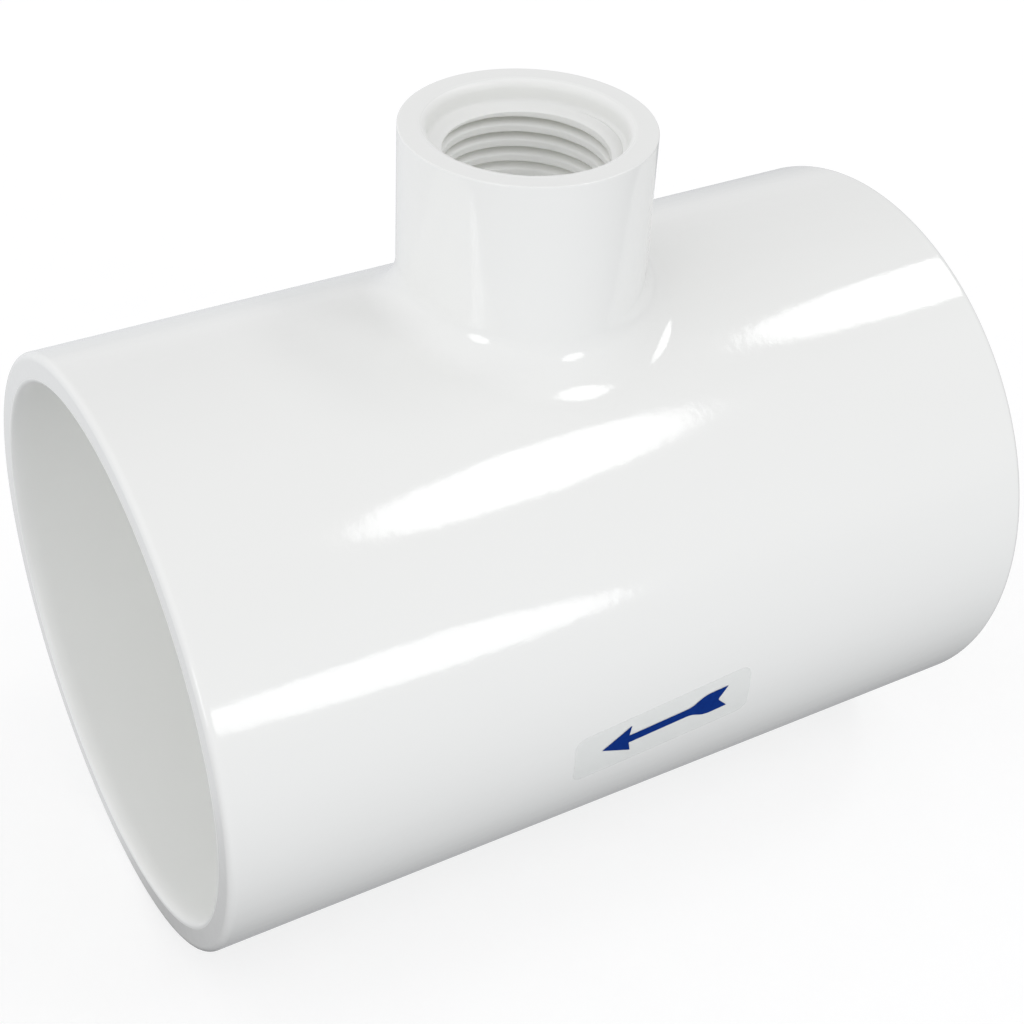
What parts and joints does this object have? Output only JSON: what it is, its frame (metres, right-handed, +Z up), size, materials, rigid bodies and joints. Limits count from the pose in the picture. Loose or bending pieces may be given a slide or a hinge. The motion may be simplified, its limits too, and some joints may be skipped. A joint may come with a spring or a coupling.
{
  "type": "pvc tee fitting",
  "caption": "White PVC reducing tee: straight run with slip sockets for 63 mm pipe, short round branch boss with a half-inch female pipe thread, and a clear film label with a blue flow arrow.",
  "frame": {"origin": "on the ground, straight under the crossing of the run's axis and the branch's axis, with the tee lying on its run", "axes": "+X along the run, away from the end that the arrow points to; +Z up the branch, out of its mouth; the label faces -Y"},
  "size_m": [0.1052, 0.0713, 0.091],
  "materials": {
    "white_pvc": "glossy moulded rigid PVC, white, very slightly translucent at thin edges",
    "clear_film": "clear self-adhesive film, glossy, faint grey tint",
    "blue_ink": "printed ink, satin, deep blue"
  },
  "bodies": {
    "root": {"tee_body": "white_pvc", "label_film": "clear_film", "flow_arrow": "blue_ink"}
  },
  "joints": []
}
